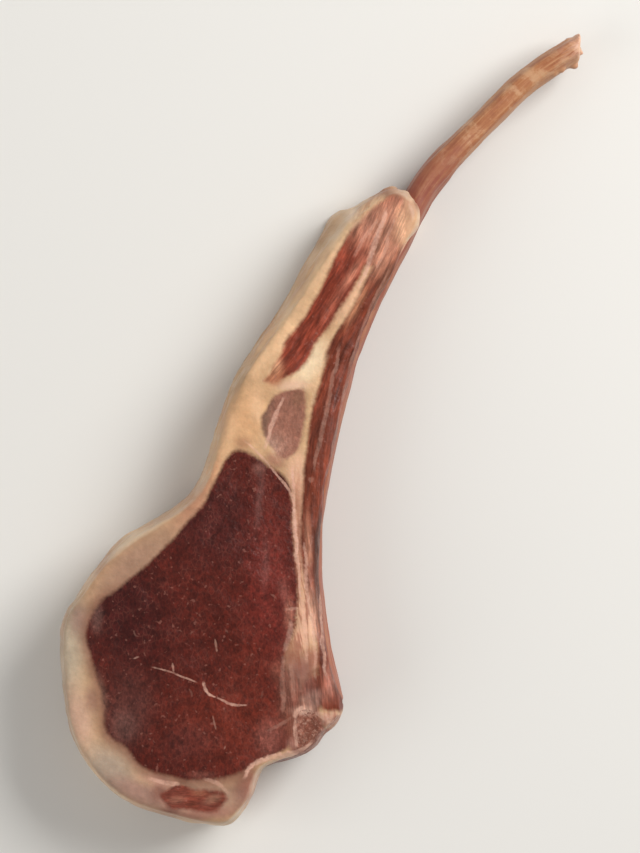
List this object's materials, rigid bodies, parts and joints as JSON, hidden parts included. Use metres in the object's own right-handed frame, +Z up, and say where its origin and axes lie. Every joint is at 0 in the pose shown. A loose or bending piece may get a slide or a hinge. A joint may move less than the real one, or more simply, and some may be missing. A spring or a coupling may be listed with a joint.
{
  "type": "frenched lamb chop",
  "caption": "Raw lamb rib chop, frenched: oval eye muscle in a fat rim, a narrow tail and a curved rib scraped bare.",
  "frame": {"origin": "middle of the bounding box's bottom, on the surface that the chop lies on", "axes": "+Y along the chop, from the eye of the loin to the sawn tip of the bare rib; +Z up out of the upper cut face; +X towards the rib's inner side"},
  "size_m": [0.0534, 0.1664, 0.0198],
  "materials": {
    "eye_lean": "moist, satin",
    "cap_lean": "moist, satin",
    "round_lean": "moist, satin",
    "heel_lean": "moist, satin",
    "rib_lean": "moist, satin",
    "fat": "waxy, satin",
    "rib_bone": "scraped, satin",
    "chine_bone": "sawn, porous"
  },
  "bodies": {
    "root": {"eye_lean": "eye_lean", "cap_lean": "cap_lean", "round_lean": "round_lean", "heel_lean": "heel_lean", "rib_lean": "rib_lean", "fat_cap": "fat", "rib_bone": "rib_bone", "chine_bone": "chine_bone"}
  },
  "joints": []
}
